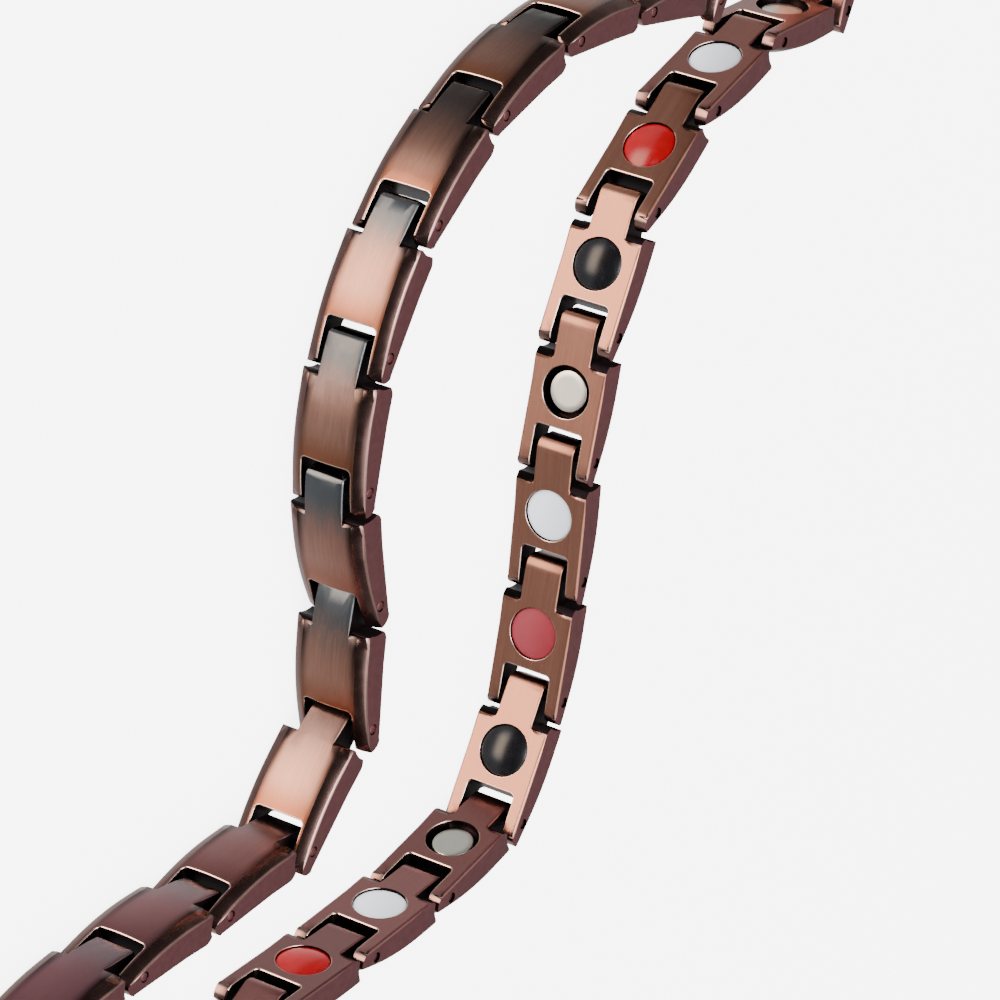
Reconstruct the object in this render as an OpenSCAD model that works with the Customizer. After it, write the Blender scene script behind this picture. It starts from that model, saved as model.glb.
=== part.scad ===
// Magnetic link bracelet in brushed antique copper, closed and standing on its edge.
// The axis of the loop is +Z. The near strand (-Y) turns the arched outer faces of its
// links outwards, the far strand (+Y) turns the flat inner faces and round inlays inwards.

/* [Links] */
// Distance between the two pins of a link
pitch = 7.3; // [5:0.1:12]
// Width of a link, which is the height of the bracelet on its edge
link_w = 4.7; // [3:0.1:9]
// Distance from the line through the pins to the flat inner face
inner_y = 0.74; // [0.5:0.05:1.5]
// Distance from the line through the pins to the top of the arched outer face
crown_y = 1.36; // [1:0.01:2.5]
// Place of the arch's top along a link, as a share of the pitch
crown_at = 0.48; // [0.4:0.01:0.6]
// Fall of the arch from its top to the fork pin
arch_drop = 0.45; // [0.3:0.01:1]
// Rise of the outer face across its width, between the sloped long edges
crown_bow = 0.13; // [0.02:0.01:0.4]
// Fall from the top of the outer face to the side wall
slope_drop = 0.43; // [0.1:0.01:0.8]
// Width of the sloped long edge, measured across the outer face
slope_w = 0.62; // [0.1:0.01:1]

/* [Forks and tongues] */
// Width of the slot between a fork's prongs
slot_w = 3.1; // [2:0.02:4]
// Distance from the fork pin to the end wall of the slot, at the outer face
slot_back = 1.08; // [0.8:0.01:1.6]
// Lean of the slot's end wall, which leaves the slot longer at the inner face
slot_lean = 0.36; // [0:0.01:0.6]
// Radius that rounds the slot's corners at its end wall
slot_corner = 0.3; // [0.1:0.01:0.8]
// Reach of the round prong tips past the fork pin
tip_reach = 1.37; // [1:0.01:2]
// Width of the tongue
tongue_w = 2.4; // [1.5:0.02:3.6]
// Reach of the tongue past the tongue pin
tongue_end = 0.9; // [0.76:0.01:1.2]
// Radius about the tongue pin that the tongue's end keeps within on its outer side
tongue_r = 1; // [0.9:0.01:1.2]
// Radius that rounds the tongue's two corners
tongue_corner = 0.35; // [0.1:0.01:1]
// Radius with which the tongue flares into the body
flare_r = 0.48; // [0.1:0.01:0.5]
// Radius of the hollow shoulders about the tongue pin
shoulder_r = 1.68; // [1.2:0.01:2.4]
// Distance from the tongue pin to where the flat inner face begins beside the tongue
shoulder_reach = 2.2; // [1.8:0.01:3]
// Radius that rounds a shoulder over to the outer face
shoulder_round = 0.7; // [0.3:0.05:1.2]

/* [Pins] */
// Radius of a pin
pin_r = 0.26; // [0.2:0.01:0.6]
// Clearance of a pin in its hole
pin_gap = 0.05; // [0.02:0.01:0.2]
// Depth of a pin's end below the side wall
pin_inset = 0.12; // [0:0.01:0.5]

/* [Inlays] */
// Radius of an inlay's seat in the inner face
seat_r = 1.53; // [1:0.01:2]
// Depth of an inlay's seat
seat_depth = 0.9; // [0.4:0.05:1.2]
// Place of an inlay along a link, as a share of the pitch
seat_at = 0.505; // [0.5:0.005:0.6]
// Clearance of an inlay in its seat
seat_gap = 0.05; // [0.02:0.01:0.2]
// Radius of a silver disc, which leaves a dark ring round it
silver_r = 1.2; // [0.8:0.01:1.6]

/* [Clasp] */
// Distance between the two pins of the clasp, as a share of the pitch
clasp_share = 1.8; // [1:0.1:3]
// Fall of the clasp's arch from its top to its pins
clasp_drop = 0.55; // [0.3:0.01:1]

/* [Loop] */
// Pin of the clasp on the near strand, in pitches from the middle of the loop
near_start = [-5.378, 1.180]; // [-8:0.001:8]
// Second pin of the far strand, in pitches from the middle of the loop
far_start = [-4.829, 3.190]; // [-8:0.001:8]
// Headings in degrees of the near strand's links, from the clasp to the far end
near_headings = [-4, -70, -63, -43, -24, -3, 19, 41, 28, -15, -56, -59, -52, 5]; // [-180:1:180]
// Headings in degrees of the far strand's links, from its second link to the far end
far_headings = [-61, -43, -24, 3, 17, 26, 19, 0, -48, -57, -60, -33, -35]; // [-180:1:180]

/* [Hidden] */
$fn = 96;
crest_y = crown_y - shoulder_round;
crest_x = sqrt(shoulder_r * shoulder_r - crest_y * crest_y) + shoulder_round;
clasp_pitch = pitch * clasp_share;
inlay_r = seat_r - seat_gap;
// Forms of the inlays: kind, radius, depth of the rim below the inner face, height of the dome
inlay_forms = [
    ["black", inlay_r, 0.10, 0.45],
    ["silver", silver_r, 0.30, 0],
    ["white", inlay_r, 0.15, 0.25],
    ["red", inlay_r, 0.12, 0.27]
];
inlay_kinds = [for (form = inlay_forms) form[0]];

// Radius of the arc that rises by rise over the half chord half
function arc_radius(half, rise) = (half * half + rise * rise) / (2 * rise);
link_arch_r = arc_radius(pitch * (1 - crown_at), arch_drop);
clasp_arch_r = arc_radius(clasp_pitch / 2, clasp_drop);

function stride(heading) = pitch * [cos(heading), sin(heading)];
// Pins met on the way along the headings, from the pin at start on
function walk(start, headings, i = 0) =
    i == len(headings)
        ? [start]
        : concat([start], walk(start + stride(headings[i]), headings, i + 1));
// Point at the distance ra from a and rb from b, on the right of the way from a to b
function elbow(a, b, ra, rb) =
    let (
        way = b - a,
        span = norm(way),
        along = (ra * ra - rb * rb + span * span) / (2 * span),
        aside = sqrt(ra * ra - along * along)
    )
    a + (along * way + aside * [way.y, -way.x]) / span;

near_open = walk(pitch * near_start, near_headings);
far_open = walk(pitch * far_start, far_headings);
turn_pin = elbow(near_open[len(near_headings)], far_open[len(far_headings)], pitch, pitch);
clasp_pin = elbow(far_open[0], near_open[0], pitch, clasp_pitch);
near_pins = concat(near_open, [turn_pin]);
far_pins = concat([clasp_pin], far_open);
all_pins = concat(near_pins, far_pins);

// Each link as the pin of its tongue, the pin of its fork and whether it is turned over
links = concat(
    [for (i = [1:len(near_pins) - 1]) [near_pins[i - 1], near_pins[i], false]],
    [for (i = [1:len(far_pins) - 1]) [far_pins[i - 1], far_pins[i], true]]
);

function link_name(i) = str("link_", i < 9 ? "0" : "", i + 1);
function inlay_name(kind) = str(kind, "_inlays");

// Places a piece between two pins. Its outer face lies to the right of the way from
// the first pin to the second, or to the left where the piece is turned over.
module between(from, to, turned = false) {
    way = to - from;
    translate([from.x, from.y, link_w / 2])
        rotate([0, 0, atan2(way.y, way.x)])
            rotate([turned ? 180 : 0, 0, 0])
                children();
}

// Gives a side outline a width, to both sides of the middle
module slab(width) {
    translate([0, 0, -width / 2])
        linear_extrude(height = width)
            children();
}

module band(x1, x2, y1, y2) {
    translate([x1, y1])
        square([x2 - x1, y2 - y1]);
}

// Turned solid whose rim is the arched outer face, bowed across its width between the
// sloped long edges
module arch(top_x, r) {
    half = link_w / 2 - slope_w;
    bow_r = arc_radius(half, crown_bow);
    translate([top_x, r - crown_y, 0])
        rotate_extrude() {
            polygon([
                [0, -link_w / 2],
                [r - slope_drop, -link_w / 2],
                [r - crown_bow, -half],
                [r - crown_bow, half],
                [r - slope_drop, link_w / 2],
                [0, link_w / 2]
            ]);
            intersection() {
                translate([r - bow_r, 0])
                    circle(r = bow_r);
                translate([0, -half])
                    square([r, 2 * half]);
            }
        }
}

// Side outline of a fork's prongs, from the fork pin at 0 to their round tips
module prong_outline() {
    tip_x = tip_reach - inner_y;
    band(0, tip_x, -crown_y, inner_y);
    translate([tip_x, 0])
        circle(r = inner_y);
}

// Side outline of a tongue from its end as far as x, with the pin at 0
module tongue_outline(x) {
    nose_x = inner_y - tongue_end;
    intersection() {
        circle(r = tongue_r);
        band(-tongue_end, tongue_r, -crown_y, 0);
    }
    translate([nose_x, 0])
        circle(r = inner_y);
    band(nose_x, x, -crown_y, inner_y);
}

// Gives an outline seen along the thickness of a link a height beyond both faces
module sheet() {
    rotate([90, 0, 0])
        translate([0, 0, -4 * crown_y])
            linear_extrude(height = 8 * crown_y)
                children();
}

// Strip from 0 to x, rounded at its two corners at 0
module rounded_strip(x, width, r) {
    band(r, x, -width / 2, width / 2);
    band(0, x, r - width / 2, width / 2 - r);
    for (side = [-1, 1])
        translate([r, side * (width / 2 - r)])
            circle(r = r);
}

// Widening of the tongue where it meets the body
module flare_outline() {
    reach_z = tongue_w / 2 + flare_r;
    difference() {
        band(shoulder_reach - flare_r, shoulder_reach + flare_r, -reach_z, reach_z);
        for (side = [-1, 1])
            translate([shoulder_reach - flare_r, side * reach_z])
                circle(r = flare_r);
    }
}

// Side outline of a body from its hollow shoulder to x, with the tongue pin at 0
module shouldered(x) {
    difference() {
        union() {
            band(0, x, -crest_y, 0);
            band(crest_x, x, -crown_y, 0);
            translate([crest_x, -crest_y])
                circle(r = shoulder_round);
            band(shoulder_reach, x, -crown_y, inner_y);
            translate([shoulder_reach, 0])
                circle(r = inner_y);
        }
        circle(r = shoulder_r);
    }
}

// Body from a hollow shoulder to x and the tongue before it, with the tongue pin at 0
module tongue_half(x) {
    slab(link_w)
        shouldered(x);
    intersection() {
        slab(link_w)
            tongue_outline(x);
        sheet() {
            translate([-tongue_end, 0])
                rounded_strip(2 * x, tongue_w, tongue_corner);
            flare_outline();
        }
    }
}

module pin_hole() {
    translate([0, 0, -link_w])
        cylinder(r = pin_r + pin_gap, h = 2 * link_w);
}

// Slot and pin hole of a fork whose body lies at -X, with the fork pin at 0
module fork_cut() {
    translate([-slot_back, -crown_y, 0])
        rotate([0, 0, atan(slot_lean / (crown_y + inner_y))])
            sheet()
                rounded_strip(3 * tip_reach, slot_w, slot_corner);
    pin_hole();
}

module inlay_seat(x) {
    translate([x, inner_y - seat_depth, 0])
        rotate([-90, 0, 0])
            cylinder(r = seat_r, h = 2 * seat_depth);
}

module link() {
    color("#9a6a58")
        difference() {
            intersection() {
                arch(pitch * crown_at, link_arch_r);
                union() {
                    tongue_half(pitch);
                    slab(link_w)
                        translate([pitch, 0])
                            prong_outline();
                }
            }
            pin_hole();
            translate([pitch, 0, 0])
                fork_cut();
            inlay_seat(pitch * seat_at);
        }
}

// Link with a tongue at both ends, where the two strands meet
module turn_link() {
    color("#9a6a58")
        difference() {
            intersection() {
                arch(pitch / 2, link_arch_r);
                union() {
                    tongue_half(pitch / 2);
                    translate([pitch, 0, 0])
                        mirror([1, 0, 0])
                            tongue_half(pitch / 2);
                }
            }
            pin_hole();
            translate([pitch, 0, 0])
                pin_hole();
            inlay_seat(pitch / 2);
        }
}

// Plain closed clasp with a fork at both ends
module clasp() {
    color("#8a5a4a")
        difference() {
            intersection() {
                arch(clasp_pitch / 2, clasp_arch_r);
                slab(link_w) {
                    band(0, clasp_pitch, -crown_y, inner_y);
                    mirror([1, 0])
                        prong_outline();
                    translate([clasp_pitch, 0])
                        prong_outline();
                }
            }
            mirror([1, 0, 0])
                fork_cut();
            translate([clasp_pitch, 0, 0])
                fork_cut();
        }
}

module pins() {
    color("#6e4030")
        for (p = all_pins)
            translate([p.x, p.y, pin_inset])
                cylinder(r = pin_r, h = link_w - 2 * pin_inset);
}

// Inlay in its seat at x along a link, a plain disc where dome is 0
module inlay(x, r, rim_depth, dome) {
    rim_h = seat_depth - seat_gap - rim_depth;
    translate([x, inner_y - seat_depth + seat_gap, 0])
        rotate([-90, 0, 0])
            if (dome == 0)
                cylinder(r = r, h = rim_h);
            else
                intersection() {
                    cylinder(r = r, h = rim_h + dome);
                    translate([0, 0, rim_h + dome - arc_radius(r, dome)])
                        sphere(r = arc_radius(r, dome));
                }
}

// All inlays of one kind. The kinds follow each other in turn along both strands,
// and the link between the strands has the last one.
module inlays(kind_index) {
    form = inlay_forms[kind_index];
    kinds = len(inlay_forms);
    color(form[0])
        union() {
            for (i = [0:len(links) - 1])
                if (inlay_turn(i) % kinds == kind_index)
                    between(links[i][0], links[i][1], links[i][2])
                        inlay(pitch * seat_at, form[1], form[2], form[3]);
            if (kind_index == kinds - 1)
                between(turn_pin, far_pins[len(far_pins) - 1])
                    inlay(pitch / 2, form[1], form[2], form[3]);
        }
}
function inlay_turn(i) = i < len(near_pins) - 1 ? i : i - len(near_pins) + 1;

for (i = [0:len(links) - 1])
    between(links[i][0], links[i][1], links[i][2]) link();
between(turn_pin, far_pins[len(far_pins) - 1]) turn_link();
between(clasp_pin, near_pins[0]) clasp();
pins();
for (k = [0:len(inlay_kinds) - 1])
    inlays(k);
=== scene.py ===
import math

import bmesh
import bpy
from mathutils import Matrix, Vector
from mathutils.geometry import intersect_point_line


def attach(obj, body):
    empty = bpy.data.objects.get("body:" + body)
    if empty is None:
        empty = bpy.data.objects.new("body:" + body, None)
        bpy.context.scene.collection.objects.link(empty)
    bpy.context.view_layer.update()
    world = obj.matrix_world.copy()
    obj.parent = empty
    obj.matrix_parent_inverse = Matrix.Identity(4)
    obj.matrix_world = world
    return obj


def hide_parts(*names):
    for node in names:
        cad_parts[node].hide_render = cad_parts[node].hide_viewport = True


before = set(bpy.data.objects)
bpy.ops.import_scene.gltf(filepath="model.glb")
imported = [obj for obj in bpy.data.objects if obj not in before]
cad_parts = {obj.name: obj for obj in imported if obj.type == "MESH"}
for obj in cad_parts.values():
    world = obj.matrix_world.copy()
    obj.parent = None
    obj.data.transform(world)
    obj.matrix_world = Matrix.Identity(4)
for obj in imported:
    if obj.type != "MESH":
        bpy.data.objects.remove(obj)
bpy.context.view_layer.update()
mm = 0.001
print("frame loaded")


def hexColour(text):
    # sRGB hex to the linear values that the shader takes
    parts = [int(text[i:i + 2], 16) / 255 for i in (1, 3, 5)]
    return [p / 12.92 if p <= 0.04045 else ((p + 0.055) / 1.055) ** 2.4 for p in parts] + [1]


def addNode(tree, kind, values=None, links=None, **settings):
    node = tree.nodes.new(kind)
    for name, value in settings.items():
        setattr(node, name, value)
    for socket, value in (values or {}).items():
        node.inputs[socket].default_value = value
    for socket, source in (links or {}).items():
        tree.links.new(source, node.inputs[socket])
    return node


def startMaterial(name):
    material = bpy.data.materials.new(name)
    material.use_nodes = True
    material.node_tree.nodes.clear()
    return material, material.node_tree


# The chain of pins, laid out by the same headings as the CAD model, in mm

chain = {
    "pitch": 7.3,          # from pin to pin
    "width": 4.7,          # height of the bracelet on its edge
    "claspShare": 1.8,     # the clasp's two pins are this many pitches apart
    "nearStart": (-5.378, 1.180),
    "farStart": (-4.829, 3.190),
    "nearHeadings": [-4, -70, -63, -43, -24, -3, 19, 41, 28, -15, -56, -59, -52, 5],
    "farHeadings": [-61, -43, -24, 3, 17, 26, 19, 0, -48, -57, -60, -33, -35],
}


def walk(start, headings):
    pins = [Vector(start) * chain["pitch"]]
    for heading in headings:
        step = Vector((math.cos(math.radians(heading)), math.sin(math.radians(heading))))
        pins.append(pins[-1] + step * chain["pitch"])
    return pins


def elbow(a, b, reachA, reachB):
    # the pin at reachA from a and reachB from b, on the right of the way from a to b
    way = b - a
    along = (reachA ** 2 - reachB ** 2 + way.length_squared) / (2 * way.length)
    aside = math.sqrt(reachA ** 2 - along ** 2)
    return a + (way * along + Vector((way.y, -way.x)) * aside) / way.length


def placeBetween(start, end, turned=False):
    # matrix of a link's own frame: x from its tongue pin to its fork pin, -y the arched face
    way = end - start
    turn = Matrix.Rotation(math.atan2(way.y, way.x), 4, "Z")
    flip = Matrix.Rotation(math.pi if turned else 0, 4, "X")
    return Matrix.Translation(Vector((start.x, start.y, chain["width"] / 2)) * mm) @ turn @ flip


nearOpen = walk(chain["nearStart"], chain["nearHeadings"])
farOpen = walk(chain["farStart"], chain["farHeadings"])
turnPin = elbow(nearOpen[-1], farOpen[-1], chain["pitch"], chain["pitch"])
claspPin = elbow(farOpen[0], nearOpen[0], chain["pitch"], chain["pitch"] * chain["claspShare"])
nearPins = nearOpen + [turnPin]
farPins = [claspPin] + farOpen
nearPlaces = [placeBetween(a, b) for a, b in zip(nearPins, nearPins[1:])]
farPlaces = [placeBetween(a, b, True) for a, b in zip(farPins, farPins[1:])]
turnPlace = placeBetween(turnPin, farPins[-1])
claspPlace = placeBetween(claspPin, nearPins[0])
print("pins placed:", len(nearPins) + len(farPins))

# Copper of the links. Each finish is one bath or one pass of the brush, and the attributes on
# the meshes say where on a link a point lies (place), where its brush marks come from (grain)
# and per link the plating left, a plum tint partly oxide and partly painted shade, and painted shade

copper = {
    "face": "#deab94",       # rubbed bare by the belt
    "faceDeep": "#a8756a",   # the same between the belt's marks
    "warm": "#a05a36",       # a warmer, darker tone towards the fork and on the inner side
    "plum": "#95626c",       # plum tint, partly oxide and partly painted shade on links turned away from the light
    "plating": "#73787c",    # grey-black plating left at the tongue end
    "paintedShade": "#1c1415",     # edges the belt hardly reached
    "slope": "#8c6c66",      # painted shade, along the crown's edges and over whole links
    "wall": "#724447",       # side walls
    "recess": "#1d1416",     # slots, hollows and seats
    "edge": "#f0cdbd",       # corners worn bare, and pale as their glint, so partly a painted highlight
    "ragged": 1.5,           # mm that the belt's marks move the plating's end
    "warmInside": 0.4,       # strength of the warm layer on the inner side
    # where each layer fades: From in mm on the link, To as the layer's strength there
    "outerSide": {"From Min": 0.3, "From Max": -0.2},
    "plated": {"From Min": 5.0, "From Max": 1.7},
    # painted shade along the crown's edges: across, by mm from the middle plane, then along the link
    "edgeShadeAcross": {"From Min": 1.15, "From Max": 1.75},
    "edgeShadeAlong": {"From Min": 6.4, "From Max": 2.0, "To Min": 0.3, "To Max": 0.95},
    "warmEnd": {"From Min": 4.2, "From Max": 6.1, "To Max": 0.75},
    # painted shade of each link, heavier on the outer tongue, which sits in the neighbour's slot
    "linkShadeAlong": {"From Min": 6.0, "From Max": 0.5, "To Min": -0.6, "To Max": 0.9},
}


def makeFaceMaterial():
    # Antique copper: copper plate blackened in a sulphide bath, then belt-brushed along the link.
    # The eye sees fine lines along the link, a highlight drawn out across them, grey plating
    # left on the outer tongue, painted shade along both edges of the crown and over whole links,
    # and a warmer, darker tone near the fork and on the inner side.
    material, tree = startMaterial("brushedAntiqueCopper")
    place = addNode(tree, "ShaderNodeAttribute", attribute_name="place")
    grain = addNode(tree, "ShaderNodeAttribute", attribute_name="grain")
    patinaAndShade = addNode(tree, "ShaderNodeAttribute", attribute_name="patinaAndShade")
    spot = addNode(tree, "ShaderNodeSeparateXYZ", links={"Vector": place.outputs["Vector"]})
    bathAndShade = addNode(tree, "ShaderNodeSeparateXYZ", links={"Vector": patinaAndShade.outputs["Vector"]})
    # brush lines 0.1 mm apart and a few mm long, drawn coarser than the real ones so that they show
    drawn = addNode(tree, "ShaderNodeMapping", {"Scale": (0.25, 10, 10)},
                    {"Vector": grain.outputs["Vector"]})
    lines = addNode(tree, "ShaderNodeTexNoise", {"Scale": 1.0, "Detail": 4.0, "Roughness": 0.7},
                    {"Vector": drawn.outputs["Vector"]})
    # clouds about 1 mm across, as wide as the belt's uneven pressure
    broad = addNode(tree, "ShaderNodeMapping", {"Scale": (0.35, 1.4, 1.4)},
                    {"Vector": grain.outputs["Vector"]})
    cloud = addNode(tree, "ShaderNodeTexNoise", {"Scale": 1.0, "Detail": 3.0},
                    {"Vector": broad.outputs["Vector"]})
    outer = addNode(tree, "ShaderNodeMapRange", copper["outerSide"], {"Value": spot.outputs["Y"]})
    aside = addNode(tree, "ShaderNodeMath", links={0: spot.outputs["Z"]}, operation="ABSOLUTE")
    # x moved by the marks, so that the plating ends raggedly
    ragged = addNode(tree, "ShaderNodeMath", links={0: lines.outputs["Fac"], 1: cloud.outputs["Fac"]},
                     operation="ADD")
    ragged = addNode(tree, "ShaderNodeMath", {1: copper["ragged"]},
                     {0: ragged.outputs["Value"], 2: spot.outputs["X"]}, operation="MULTIPLY_ADD")
    plated = addNode(tree, "ShaderNodeMapRange", copper["plated"], {"Value": ragged.outputs["Value"]},
                     interpolation_type="SMOOTHSTEP")
    plated = addNode(tree, "ShaderNodeMath",
                     links={0: plated.outputs["Result"], 1: outer.outputs["Result"]}, operation="MULTIPLY")
    plated = addNode(tree, "ShaderNodeMath", links={0: plated.outputs["Value"], 1: bathAndShade.outputs["X"]},
                     operation="MULTIPLY")
    # painted shade along both edges of the crown, on the outer side only, heavier towards the tongue
    lip = addNode(tree, "ShaderNodeMapRange", copper["edgeShadeAcross"], {"Value": aside.outputs["Value"]},
                  interpolation_type="SMOOTHSTEP")
    behind = addNode(tree, "ShaderNodeMapRange", copper["edgeShadeAlong"], {"Value": spot.outputs["X"]},
                     interpolation_type="SMOOTHSTEP")
    edgeShade = addNode(tree, "ShaderNodeMath", links={0: lip.outputs["Result"], 1: behind.outputs["Result"]},
                   operation="MULTIPLY")
    edgeShade = addNode(tree, "ShaderNodeMath", links={0: edgeShade.outputs["Value"], 1: outer.outputs["Result"]},
                   operation="MULTIPLY")
    ended = addNode(tree, "ShaderNodeMapRange", copper["warmEnd"], {"Value": spot.outputs["X"]},
                    interpolation_type="SMOOTHSTEP")
    ended = addNode(tree, "ShaderNodeMath", links={0: ended.outputs["Result"], 1: outer.outputs["Result"]},
                    operation="MULTIPLY")
    inner = addNode(tree, "ShaderNodeMath", {1: -copper["warmInside"], 2: copper["warmInside"]},
                    {0: outer.outputs["Result"]}, operation="MULTIPLY_ADD")
    ended = addNode(tree, "ShaderNodeMath", links={0: ended.outputs["Value"], 1: inner.outputs["Value"]},
                    operation="ADD")
    # the painted shade of each link lies heavier on the outer tongue, which sits in the neighbour's slot, than
    # at the fork, and evenly on the inner side
    linkShadeRamp = addNode(tree, "ShaderNodeMapRange", copper["linkShadeAlong"], {"Value": spot.outputs["X"]})
    linkShadeRamp = addNode(tree, "ShaderNodeMath", {2: 1.0},
                      {0: outer.outputs["Result"], 1: linkShadeRamp.outputs["Result"]}, operation="MULTIPLY_ADD")
    dark = addNode(tree, "ShaderNodeMath", links={0: linkShadeRamp.outputs["Value"], 1: bathAndShade.outputs["Z"]},
                   operation="MULTIPLY")
    tone = addNode(tree, "ShaderNodeMix", {6: hexColour(copper["faceDeep"]), 7: hexColour(copper["face"])},
                   {0: lines.outputs["Fac"]}, data_type="RGBA")
    tone = addNode(tree, "ShaderNodeMix", {7: hexColour(copper["warm"])},
                   {0: ended.outputs["Value"], 6: tone.outputs[2]}, data_type="RGBA")
    # plum tint per link, partly oxide and partly painted shade
    tone = addNode(tree, "ShaderNodeMix", {7: hexColour(copper["plum"])},
                   {0: bathAndShade.outputs["Y"], 6: tone.outputs[2]}, data_type="RGBA")
    tone = addNode(tree, "ShaderNodeMix", {7: hexColour(copper["plating"])},
                   {0: plated.outputs["Value"], 6: tone.outputs[2]}, data_type="RGBA")
    # painted shade: along the crown's edges, then over the whole link by its own amount
    tone = addNode(tree, "ShaderNodeMix", {7: hexColour(copper["paintedShade"])},
                   {0: edgeShade.outputs["Value"], 6: tone.outputs[2]}, data_type="RGBA")
    tone = addNode(tree, "ShaderNodeMix", {7: hexColour(copper["paintedShade"])},
                   {0: dark.outputs["Value"], 6: tone.outputs[2]}, data_type="RGBA")
    rough = addNode(tree, "ShaderNodeMapRange", {"To Min": 0.28, "To Max": 0.42},
                    {"Value": lines.outputs["Fac"]})
    bump = addNode(tree, "ShaderNodeBump", {"Strength": 0.3, "Distance": 0.02 * mm},
                   {"Height": lines.outputs["Fac"]})
    tangent = addNode(tree, "ShaderNodeTangent", direction_type="UV_MAP", uv_map="brushing")
    shader = addNode(tree, "ShaderNodeBsdfPrincipled",
                     {"Metallic": 1.0, "Anisotropic": 0.7, "Coat Weight": 0.15, "Coat Roughness": 0.25},
                     {"Base Color": tone.outputs[2], "Roughness": rough.outputs["Result"],
                      "Normal": bump.outputs["Normal"], "Tangent": tangent.outputs["Tangent"]})
    addNode(tree, "ShaderNodeOutputMaterial", links={"Surface": shader.outputs["BSDF"]})
    return material


def makePlain(name, colour, spread, roughness, scale, **values):
    # one colour that strays by spread over a noise of scale per mm, on metal, ferrite or glaze
    material, tree = startMaterial(name)
    grain = addNode(tree, "ShaderNodeAttribute", attribute_name="grain")
    noise = addNode(tree, "ShaderNodeTexNoise", {"Scale": scale, "Detail": 4.0},
                    {"Vector": grain.outputs["Vector"]})
    base = hexColour(colour)[:3]
    darker, lighter = ([min(1, c * share) for c in base] + [1] for share in (1 - spread, 1 + spread))
    tone = addNode(tree, "ShaderNodeMix", {6: darker, 7: lighter}, {0: noise.outputs["Fac"]},
                   data_type="RGBA")
    rough = addNode(tree, "ShaderNodeMapRange", {"To Min": roughness - 0.05, "To Max": roughness + 0.05},
                    {"Value": noise.outputs["Fac"]})
    shader = addNode(tree, "ShaderNodeBsdfPrincipled", values,
                     {"Base Color": tone.outputs[2], "Roughness": rough.outputs["Result"]})
    addNode(tree, "ShaderNodeOutputMaterial", links={"Surface": shader.outputs["BSDF"]})
    return material


linkMaterials = [
    makeFaceMaterial(),
    # long slopes: plated and tumbled but never brushed, so dark with one crisp streak
    makePlain("tumbledDarkCopper", copper["slope"], 0.25, 0.24, 1.2, **{"Metallic": 1.0}),
    # side walls: copper with a thin plum oxide, satin from tumbling
    makePlain("plumOxideCopper", copper["wall"], 0.22, 0.4, 2.5, **{"Metallic": 1.0, "Coat Weight": 0.1}),
    # slots, hollows and seats: the bath's black, never rubbed
    makePlain("sulphideBlackCopper", copper["recess"], 0.3, 0.45, 2.0, **{"Metallic": 1.0}),
    # corners rubbed bare by wear and pale enough to paint their glint too, so a thin pale line
    makePlain("rubbedEdgeAndGlint", copper["edge"], 0.1, 0.25, 3.0, **{"Metallic": 1.0}),
]
print("copper made")

linkForm = {
    "slotHalf": 1.55,       # mm, half the slot's width
    "tongueHalf": 1.2,      # mm, half the tongue's width
    "innerFace": 0.74,      # mm from the pins to the flat inner face
    "seatX": 0.505 * chain["pitch"],   # mm, middle of the inlay's seat
    "wallFrom": 2.0,        # mm from the middle plane, only the side walls lie beyond
    "slotFrom": 5.0,        # mm, where the fork's slot starts along the link
    "tongueRoot": 2.3,      # mm, where the tongue starts
    "boreRim": 0.45,        # mm round a pin, where edges stay sharp
    "seatRim": 1.6,         # mm round the seat's middle
    "tongueTip": -0.75,     # mm, edges beyond stay sharp
    # corners at the tongue's root that stay sharp: |z| below, then x from, x to, y from, y to
    "rootHalf": 1.75,
    "roots": ((1.5, 2.4, -9, -0.9), (1.98, 2.4, 0.5, 9)),
    # corners of the shoulders and the prongs that stay sharp: |z| beyond, x below, x past the pin
    "cornerFrom": 1.7,
    "shoulderEnd": 2.25,
    "prongEnd": 0.85,
    "sharpAngle": 24,       # degrees, edges sharper than this are rounded
    "facetAngle": 14,       # degrees, facets flatter than this may be joined beside a rounding
    "clearWidths": 1.4,     # widths of a rounding that stay free of facet edges
    "segments": 3,
    # widths of the roundings in mm, by the place of an edge
    "roundings": {"innerWall": 0.15, "outerWall": 0.11, "notch": 0.07, "tongue": 0.09, "seat": 0.04,
                  "other": 0.05, "none": 0.0},
}


def finishOf(centre, normal):
    # 0 brushed, 1 slope, 2 side wall, 3 recess, 4 bare edge with a painted glint, by a face's place on a link in
    # mm
    aside = abs(centre.z)
    fromMiddle = abs(centre.x - chain["pitch"] / 2)
    if abs(normal.z) > 0.9:
        return 2 if aside > linkForm["wallFrom"] else 3
    if normal.y > 0.95 and centre.y > linkForm["innerFace"] - 0.02:
        return 0
    if fromMiddle > chain["pitch"] / 2 + 0.6 and aside > linkForm["slotHalf"]:
        return 1
    if normal.y < -0.2 and abs(normal.z) > 0.3:
        return 1
    if normal.y < -0.6:
        return 0
    if centre.x < -0.1 and aside < linkForm["tongueHalf"] and normal.y > -0.2:
        return 0
    return 3


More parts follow.
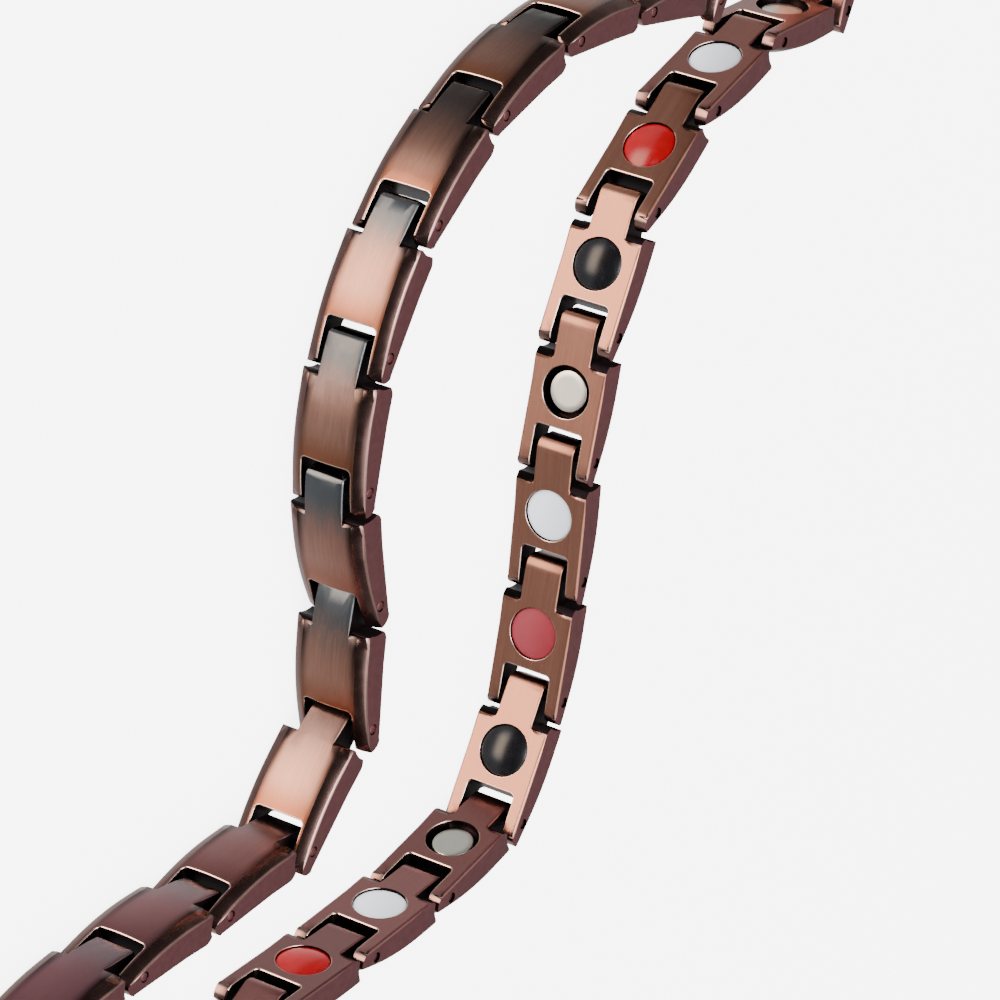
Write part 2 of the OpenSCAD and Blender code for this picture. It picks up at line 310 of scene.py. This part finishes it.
def roundingOf(edge, ends):
    # which rounding an edge takes, by the finishes of its two faces and its place in mm
    # none is for rims of the bores, recesses, and corners where three edges meet and would fold
    finishes = {face.material_index for face in edge.link_faces}
    middle = (edge.verts[0].co + edge.verts[1].co) / (2 * mm)
    aside = abs(middle.z)
    if any(math.hypot(middle.x - end, middle.y) < linkForm["boreRim"] for end in ends):
        return "none"
    if finishes == {3} or middle.x < linkForm["tongueTip"]:
        return "none"
    for left, right, below, above in linkForm["roots"]:
        if left < middle.x < right and below < middle.y < above and aside < linkForm["rootHalf"]:
            return "none"
    if math.hypot(middle.x - linkForm["seatX"], middle.z) < linkForm["seatRim"] and middle.y > 0.7:
        return "seat"
    beyond = middle.x < linkForm["shoulderEnd"] or middle.x > ends[1] + linkForm["prongEnd"]
    if beyond and aside > linkForm["cornerFrom"]:
        return "none"
    if 2 in finishes and aside > linkForm["wallFrom"]:
        return "innerWall" if middle.y > 0.2 else "outerWall"
    if middle.x > linkForm["slotFrom"] and aside < linkForm["slotHalf"] + 0.05:
        return "notch"
    if middle.x < linkForm["tongueRoot"] and aside < linkForm["slotHalf"]:
        return "tongue"
    return "other"


def roundedFinish(centre):
    # the finish of a rounding: bare copper with a painted glint round the slot and the seat, else as beside it
    aside = abs(centre.z)
    if math.hypot(centre.x - linkForm["seatX"], centre.z) < linkForm["seatRim"] + 0.02 and centre.y > 0.6:
        return 4
    if aside > linkForm["wallFrom"]:
        return 0 if centre.y > 0.45 and centre.x < chain["pitch"] + 0.5 else 1
    if centre.x > linkForm["slotFrom"] and abs(centre.y) > 0.5:
        return 4
    if centre.y > 0.5 or centre.x < linkForm["tongueRoot"] - 0.1 and aside < linkForm["slotHalf"]:
        return 0
    return 3


def clearBeside(form, weight, widest):
    # facet edges that run close beside a rounding would fold it, so they are dissolved first
    rounded = [(e, e.verts[0].co.copy(), e.verts[1].co.copy(), e[weight] * widest * mm)
               for e in form.edges if e[weight] > 0]
    facet = math.radians(linkForm["facetAngle"])
    beside = []
    for edge in form.edges:
        if edge[weight] > 0 or edge.seam or len(edge.link_faces) != 2:
            continue
        first, second = edge.link_faces
        if first.material_index != second.material_index or edge.calc_face_angle() > facet:
            continue
        middle = (edge.verts[0].co + edge.verts[1].co) / 2
        along = (edge.verts[1].co - edge.verts[0].co).normalized()
        for other, a, b, width in rounded:
            if (middle - a).length > (b - a).length + edge.calc_length() + 3 * width:
                continue
            share = intersect_point_line(middle, a, b)[1]
            spot = a + (b - a) * max(0, min(1, share))
            touches = bool(set(edge.verts) & set(other.verts))
            slant = abs(along.dot((b - a).normalized()))
            if (middle - spot).length < linkForm["clearWidths"] * width or (touches and slant > 0.7):
                beside.append(edge)
                break
    bmesh.ops.dissolve_edges(form, edges=beside, use_verts=False)
    form.normal_update()


def metalForm(node, place, reach):
    # a copy of the CAD node in its own frame, merged, with rounded edges and faces sorted by finish
    form = bmesh.new()
    form.from_mesh(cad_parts[node].data)
    bmesh.ops.remove_doubles(form, verts=form.verts, dist=0.0005 * mm)
    bmesh.ops.transform(form, matrix=place.inverted(), verts=form.verts)
    # a cut through each hole and the seat keeps the flat faces round them free of slanting edges
    for x in (0, linkForm["seatX"], reach):
        made = bmesh.ops.bisect_plane(form, geom=form.verts[:] + form.edges[:] + form.faces[:], dist=0.0001 * mm,
                                      plane_co=(x * mm, 0, 0), plane_no=(1, 0, 0))
        for edge in made["geom_cut"]:
            if isinstance(edge, bmesh.types.BMEdge) and edge.is_manifold:
                edge.seam = all(max(abs(face.normal.z), face.normal.y) > 0.99 for face in edge.link_faces)
    bmesh.ops.dissolve_limit(form, angle_limit=math.radians(0.4), verts=form.verts, edges=form.edges,
                             delimit={"SEAM"})
    form.normal_update()
    for face in form.faces:
        face.material_index = finishOf(face.calc_center_median() / mm, face.normal)
    weight = form.edges.layers.float.new("bevel_weight_edge")
    widest = max(linkForm["roundings"].values())
    sharp = math.radians(linkForm["sharpAngle"])
    for edge in form.edges:
        if len(edge.link_faces) == 2 and edge.is_convex and edge.calc_face_angle() > sharp:
            edge[weight] = linkForm["roundings"][roundingOf(edge, (0, reach))] / widest
    clearBeside(form, weight, widest)
    blank = bpy.data.meshes.new("blank")
    form.to_mesh(blank)
    form.free()
    rounded = len(linkMaterials)   # the roundings take this spare slot until their finish is known
    for i in range(rounded + 1):
        blank.materials.append(None)
    holder = bpy.data.objects.new("blank", blank)
    bpy.context.scene.collection.objects.link(holder)
    cut = holder.modifiers.new("roundings", "BEVEL")
    cut.limit_method, cut.width, cut.segments = "WEIGHT", widest * mm, linkForm["segments"]
    cut.use_clamp_overlap, cut.loop_slide, cut.material = False, True, rounded
    mesh = bpy.data.meshes.new_from_object(holder.evaluated_get(bpy.context.evaluated_depsgraph_get()))
    bpy.data.objects.remove(holder)
    form = bmesh.new()
    form.from_mesh(mesh)
    bmesh.ops.dissolve_degenerate(form, dist=0.003 * mm, edges=form.edges)
    # the roundings' rounding errors stay inside the CAD box
    half = chain["width"] / 2 * mm
    for v in form.verts:
        v.co.z = max(-half, min(half, v.co.z))
    for face in form.faces:
        if face.material_index == rounded:
            face.material_index = roundedFinish(face.calc_center_median() / mm)
    form.normal_update()
    return form


def layPoints(mesh, name, points):
    # a vector for each vertex, which the materials read by name
    spot = mesh.attributes.new(name, "FLOAT_VECTOR", "POINT")
    spot.data.foreach_set("vector", [c for p in points for c in p])


def finishPiece(name, mesh, nodes, sharp):
    # smooth shading up to sharp degrees, the piece hung under the root body, and its CAD nodes hidden
    mesh.shade_smooth()
    mesh.set_sharp_from_angle(angle=math.radians(sharp))
    piece = bpy.data.objects.new(name, mesh)
    bpy.context.scene.collection.objects.link(piece)
    even = piece.modifiers.new("evenShading", "WEIGHTED_NORMAL")
    even.keep_sharp = True
    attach(piece, "root")
    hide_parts(*nodes)
    return piece


def placeMetal(name, form, place, number, patinaAndShade, node):
    # a piece from a form in a link's own frame; number sets its stretch of the brushing apart
    mesh = bpy.data.meshes.new(name)
    form.to_mesh(mesh)
    for material in linkMaterials:
        mesh.materials.append(material)
    own = [v.co / mm for v in mesh.vertices]
    layPoints(mesh, "place", own)
    layPoints(mesh, "grain", [(p.x + number * 17.3, p.y, p.z + number * 5.1) for p in own])
    layPoints(mesh, "patinaAndShade", [patinaAndShade] * len(own))
    brushing = mesh.uv_layers.new(name="brushing")
    for loop in mesh.loops:
        p = own[loop.vertex_index]
        brushing.data[loop.index].uv = ((p.z + p.y) * 0.1, (p.x + 0.03 * p.y) * 0.1)
    mesh.transform(place)
    return finishPiece(name, mesh, [node], 35)


# per link, by number: plating left on the tongue, plum tint (partly oxide, partly painted shade), painted shade
bathsAndShade = {
    1: (0.5, 0, 0.5), 2: (0.5, 0, 0.5), 3: (0.5, 0, 0.5), 4: (0.5, 0, 0.5), 5: (0.7, 0, 0.4),
    6: (1, 0, 0.1), 7: (1, 0, 0.2), 8: (1, 0.15, 0.08), 9: (1, 0, 0.15), 10: (0.2, 0, 0.05),
    11: (0.5, 0.65, 0), 12: (0.5, 0.8, 0), 13: (0.5, 0.9, 0), 16: (0.8, 0.5, 0.3), 17: (0.8, 0.5, 0.2),
    18: (0.8, 0.4, 0.1), 19: (0.8, 0, 0.35), 21: (0.8, 0, 0.1), 22: (0.8, 0, 0.1), 23: (0.8, 0, 0.25),
    25: (0.8, 0.6, 0), 26: (0.8, 0.6, 0), 27: (0.8, 0.6, 0.25), 28: (0.8, 0.6, 0.1),
}
linkMesh = metalForm("link_01", nearPlaces[0], chain["pitch"])
for number, place in enumerate(nearPlaces + farPlaces, 1):
    bathAndShade = bathsAndShade.get(number, (0.8, 0, 0))
    placeMetal(f"link{number:02d}", linkMesh, place, number, bathAndShade, f"link_{number:02d}")
turnMesh = metalForm("turn_link", turnPlace, chain["pitch"])
placeMetal("turnLink", turnMesh, turnPlace, 30, (0.8, 0, 0), "turn_link")
claspMesh = metalForm("clasp", claspPlace, chain["pitch"] * chain["claspShare"])
placeMetal("claspBody", claspMesh, claspPlace, 31, (0, 0.1, 0), "clasp")
print("links made:", len(nearPlaces) + len(farPlaces) + 2, "faces of one link:", len(linkMesh.faces))

# Hinge pins, flush on the near strand and sunk on the far one

pinForm = {"radius": 0.26, "rounding": 0.05, "sunkNear": 0.03, "sunkFar": 0.12}
# drawn steel wire in a copper wash, cut and tumbled: its ends look like a faint ring
pinMaterial = makePlain("copperWashedPinWire", "#7a4a4e", 0.15, 0.4, 3.0, **{"Metallic": 1.0})
form = bmesh.new()
for pins, sunk in ((nearPins, pinForm["sunkNear"]), (farPins, pinForm["sunkFar"])):
    for pin in pins:
        bmesh.ops.create_cone(form, cap_ends=True, segments=32, radius1=pinForm["radius"] * mm,
                              radius2=pinForm["radius"] * mm, depth=(chain["width"] - 2 * sunk) * mm,
                              matrix=Matrix.Translation(Vector((pin.x, pin.y, chain["width"] / 2)) * mm))
rims = [e for e in form.edges if e.calc_face_angle() > math.radians(60)]
bmesh.ops.bevel(form, geom=rims, offset=pinForm["rounding"] * mm, offset_type="OFFSET", affect="EDGES",
                segments=2, profile=0.5, material=-1)
mesh = bpy.data.meshes.new("hingePins")
form.to_mesh(mesh)
form.free()
mesh.materials.append(pinMaterial)
layPoints(mesh, "grain", [v.co / mm for v in mesh.vertices])
finishPiece("hingePins", mesh, ["pins"], 50)
print("pins made:", len(nearPins) + len(farPins))

# Inlays, turned discs with a domed or a flat top

inlayForm = {
    "floor": -0.11,         # mm, underside, a little above the seat's floor
    "rimRound": 0.06,       # mm
    "arcSteps": 10,
    "spinSteps": 64,
    # kind: radius, rim's depth below the inner face, height of the dome
    "black": (1.515, 0.10, 0.45),
    "silver": (1.2, 0.30, 0.0),
    "white": (1.515, 0.15, 0.25),
    "red": (1.515, 0.12, 0.27),
}


def inlayMesh(kind, spots):
    # one turned disc, copied to each spot of its kind
    radius, depth, dome = inlayForm[kind]
    rim = linkForm["innerFace"] - depth
    steps = inlayForm["arcSteps"]
    if dome:
        ball = (radius ** 2 + dome ** 2) / (2 * dome)
        swing = math.asin(radius / ball)
        angles = [swing * (1 - i / steps) for i in range(steps + 1)]
        top = [(ball * math.sin(a), rim + dome - ball + ball * math.cos(a)) for a in angles]
    else:
        top = [(radius * (1 - i / 3), rim) for i in range(4)]
    form = bmesh.new()
    outline = [(0, inlayForm["floor"]), (radius, inlayForm["floor"])] + top
    line = [form.verts.new((r * mm, y * mm, 0)) for r, y in outline]
    edges = [form.edges.new(pair) for pair in zip(line, line[1:])]
    bmesh.ops.spin(form, geom=line + edges, cent=(0, 0, 0), axis=(0, 1, 0), dvec=(0, 0, 0),
                   angle=2 * math.pi, steps=inlayForm["spinSteps"], use_merge=True)
    bmesh.ops.remove_doubles(form, verts=form.verts, dist=1e-6)
    bmesh.ops.recalc_face_normals(form, faces=form.faces)
    rims = [e for e in form.edges if len(e.link_faces) == 2 and e.calc_face_angle() > math.radians(40)]
    bmesh.ops.bevel(form, geom=rims, offset=inlayForm["rimRound"] * mm, offset_type="OFFSET",
                    affect="EDGES", segments=3, profile=0.5, material=-1)
    disc = bpy.data.meshes.new("disc")
    form.to_mesh(disc)
    form.clear()
    for number, place, x, finish in spots:
        first = len(form.verts)
        form.from_mesh(disc)
        form.verts.ensure_lookup_table()
        seat = place @ Matrix.Translation((x * mm, 0, 0))
        bmesh.ops.transform(form, matrix=seat, verts=form.verts[first:])
    own = [v.co / mm for v in disc.vertices]
    mesh = bpy.data.meshes.new(kind)
    form.to_mesh(mesh)
    form.free()
    layPoints(mesh, "place", own * len(spots))
    layPoints(mesh, "grain", [(p.x + n * 11.7, p.y, p.z) for n, _, _, _ in spots for p in own])
    faces = len(disc.polygons)
    for i, (_, _, _, finish) in enumerate(spots):
        for face in mesh.polygons[i * faces:(i + 1) * faces]:
            face.material_index = finish
    return mesh


kinds = ["black", "silver", "white", "red"]
spots = {kind: [] for kind in kinds}
for places in (nearPlaces, farPlaces):
    for i, place in enumerate(places):
        number = i + 1 if places is nearPlaces else len(nearPlaces) + i + 1
        finish = 1 if number == 23 else 0
        spots[kinds[i % 4]].append((number, place, linkForm["seatX"], finish))
spots["red"].append((30, turnPlace, chain["pitch"] / 2, 0))

inlayMaterials = {
    # sintered ferrite ground and polished to a dome, near black with one soft highlight
    "black": [makePlain("polishedBlackFerrite", "#0a0a0d", 0.2, 0.26, 2.0, **{"IOR": 1.45})],
    # a sliced steel magnet with a nickel flash, satin and slightly cream
    "silver": [makePlain("nickelledMagnetSteel", "#e4e2d4", 0.1, 0.3, 1.5, **{"Metallic": 1.0})],
    # pressed white ceramic, satin
    "white": [makePlain("satinWhiteCeramic", "#b2b4ba", 0.03, 0.4, 2.0, **{"IOR": 1.4})],
    # red glaze over ceramic, wet looking, and one piece left dull
    "red": [makePlain("glazedRedCeramic", "#760208", 0.12, 0.14, 2.0, **{"IOR": 1.42}),
            makePlain("dullRedCeramic", "#6a1620", 0.1, 0.55, 2.0, **{"IOR": 1.35})],
}
for kind in kinds:
    mesh = inlayMesh(kind, spots[kind])
    for material in inlayMaterials[kind]:
        mesh.materials.append(material)
    finishPiece(kind + "Inlays", mesh, [kind + "_inlays"], 50)
print("inlays made:", sum(len(s) for s in spots.values()))

# Floor, camera and light

studio = {
    "floorHalf": 3.0,        # m
    "lens": 168.84,          # mm on a 36 mm sensor
    "elevation": 28.828,     # degrees above the horizon
    "roll": 108.556,         # degrees, the photograph is turned on its side
    "aim": (-1.781, 2.394, 4.6),   # mm, the point in the middle of the frame
    "distance": 254.92,      # mm
}

floorForm = bmesh.new()
bmesh.ops.create_grid(floorForm, x_segments=1, y_segments=1, size=studio["floorHalf"])
floorMesh = bpy.data.meshes.new("floor")
floorForm.to_mesh(floorMesh)
floorForm.free()
floor = bpy.data.objects.new("floor", floorMesh)
bpy.context.scene.collection.objects.link(floor)
# white acrylic of a light table, lit a little from below, so that it stays near white
floorMaterial, tree = startMaterial("lightTableAcrylic")
shader = addNode(tree, "ShaderNodeBsdfPrincipled",
                 {"Base Color": hexColour("#f6f6f6"), "Roughness": 0.8, "Specular IOR Level": 0.1,
                  "Emission Color": (1, 1, 1, 1), "Emission Strength": 5.0})
addNode(tree, "ShaderNodeOutputMaterial", links={"Surface": shader.outputs["BSDF"]})
floorMesh.materials.append(floorMaterial)
floor.visible_glossy = False

elevation, roll = math.radians(studio["elevation"]), math.radians(studio["roll"])
forward = Vector((0, math.cos(elevation), -math.sin(elevation)))
upright = Vector((0, math.sin(elevation), math.cos(elevation)))
side = Vector((1, 0, 0))
right = side * math.cos(roll) + upright * math.sin(roll)
up = upright * math.cos(roll) - side * math.sin(roll)
cameraData = bpy.data.cameras.new("camera")
cameraData.lens = studio["lens"]
cameraData.sensor_width = 36
cameraData.clip_start, cameraData.clip_end = 0.01, 10
camera = bpy.data.objects.new("camera", cameraData)
bpy.context.scene.collection.objects.link(camera)
turn = Matrix((right, up, -forward)).transposed().to_4x4()
eye = Vector(studio["aim"]) - forward * studio["distance"]
camera.matrix_world = Matrix.Translation(eye * mm) @ turn
bpy.context.scene.camera = camera

lights = {
    "key": (-12, 55, 0.9, 0.45, 0.45, 8),
    "fill": (60, 45, 1.0, 0.8, 0.8, 3),
    "top": (0, 88, 1.1, 0.9, 0.9, 9),
}
middle = Vector((0, 0, 0.002))
for name, (azimuth, height, distance, wide, tall, watts) in lights.items():
    a, e = math.radians(azimuth), math.radians(height)
    back = Vector((math.sin(a) * math.cos(e), -math.cos(a) * math.cos(e), math.sin(e)))
    lamp = bpy.data.lights.new(name, "AREA")
    lamp.shape = "RECTANGLE"
    lamp.size, lamp.size_y, lamp.energy = wide, tall, watts
    holder = bpy.data.objects.new(name, lamp)
    bpy.context.scene.collection.objects.link(holder)
    aimed = back.to_track_quat("Z", "Y").to_matrix().to_4x4()
    holder.matrix_world = Matrix.Translation(middle + back * distance) @ aimed
    holder.visible_camera = False

# Studio walls by direction: a cream card low in front, a dark band at the horizon in front,
# a soft bank above it and grey walls behind
walls = {
    "cardFacing": (-0.113, -0.994, 0),   # level direction of the card's middle
    "cardTint": "#fbdcc0",
    # strength of each part
    "card": 11.0, "bank": 1.6, "behind": 0.36, "band": 0.05, "low": 0.62,
    # where each part fades in, by the cosine to the card's middle
    "cardAhead": {"From Min": 0.75, "From Max": 0.98},
    "bankAhead": {"From Min": -0.3, "From Max": 0.7, "To Min": 0.25, "To Max": 1.0},
    "behindAhead": {"From Min": 0.1, "From Max": -0.7},
    # and by the height, from -1 straight down to 1 straight up
    "lowHeight": {"From Min": -0.26, "From Max": -0.43},
    "cardFoot": {"From Min": -0.80, "From Max": -0.60},
    "bankHeight": {"From Min": 0.46, "From Max": 0.60},
    "nadirShare": 0.7,   # what is left of the low part straight down
}
world = bpy.data.worlds.new("studioWalls")
bpy.context.scene.world = world
world.use_nodes = True
tree = world.node_tree
tree.nodes.clear()
where = addNode(tree, "ShaderNodeTexCoord")
level = addNode(tree, "ShaderNodeVectorMath", {1: (1, 1, 0)}, {0: where.outputs["Generated"]},
                operation="MULTIPLY")
level = addNode(tree, "ShaderNodeVectorMath", links={0: level.outputs["Vector"]}, operation="NORMALIZE")
facing = addNode(tree, "ShaderNodeVectorMath", {1: walls["cardFacing"]}, {0: level.outputs["Vector"]},
                 operation="DOT_PRODUCT")
height = addNode(tree, "ShaderNodeSeparateXYZ", links={"Vector": where.outputs["Generated"]})
faded = {}
for part in ("cardAhead", "bankAhead", "behindAhead", "lowHeight", "cardFoot", "bankHeight"):
    source = facing.outputs["Value"] if part.endswith("Ahead") else height.outputs["Z"]
    fade = addNode(tree, "ShaderNodeMapRange", walls[part], {"Value": source},
                   interpolation_type="SMOOTHSTEP")
    faded[part] = fade.outputs["Result"]
foot = addNode(tree, "ShaderNodeMath", {1: walls["nadirShare"]}, {0: faded["cardFoot"]},
               operation="MAXIMUM")
low = addNode(tree, "ShaderNodeMath", links={0: faded["lowHeight"], 1: foot.outputs["Value"]},
              operation="MULTIPLY")
card = addNode(tree, "ShaderNodeMath", links={0: faded["cardAhead"], 1: low.outputs["Value"]},
               operation="MULTIPLY")
card = addNode(tree, "ShaderNodeMath", links={0: card.outputs["Value"], 1: faded["cardFoot"]},
               operation="MULTIPLY")
bank = addNode(tree, "ShaderNodeMath", links={0: faded["bankHeight"], 1: faded["bankAhead"]},
               operation="MULTIPLY")
total = addNode(tree, "ShaderNodeMath", {1: walls["behind"], 2: walls["band"]}, {0: faded["behindAhead"]},
                operation="MULTIPLY_ADD")
for name, part in (("card", card), ("bank", bank), ("low", low)):
    total = addNode(tree, "ShaderNodeMath", {1: walls[name]},
                    {0: part.outputs["Value"], 2: total.outputs["Value"]}, operation="MULTIPLY_ADD")
tint = addNode(tree, "ShaderNodeMix", {6: (1, 1, 1, 1), 7: hexColour(walls["cardTint"])},
               {0: card.outputs["Value"]}, data_type="RGBA")
background = addNode(tree, "ShaderNodeBackground",
                     links={"Color": tint.outputs[2], "Strength": total.outputs["Value"]})
addNode(tree, "ShaderNodeOutputWorld", links={"Surface": background.outputs["Background"]})
print("studio made")
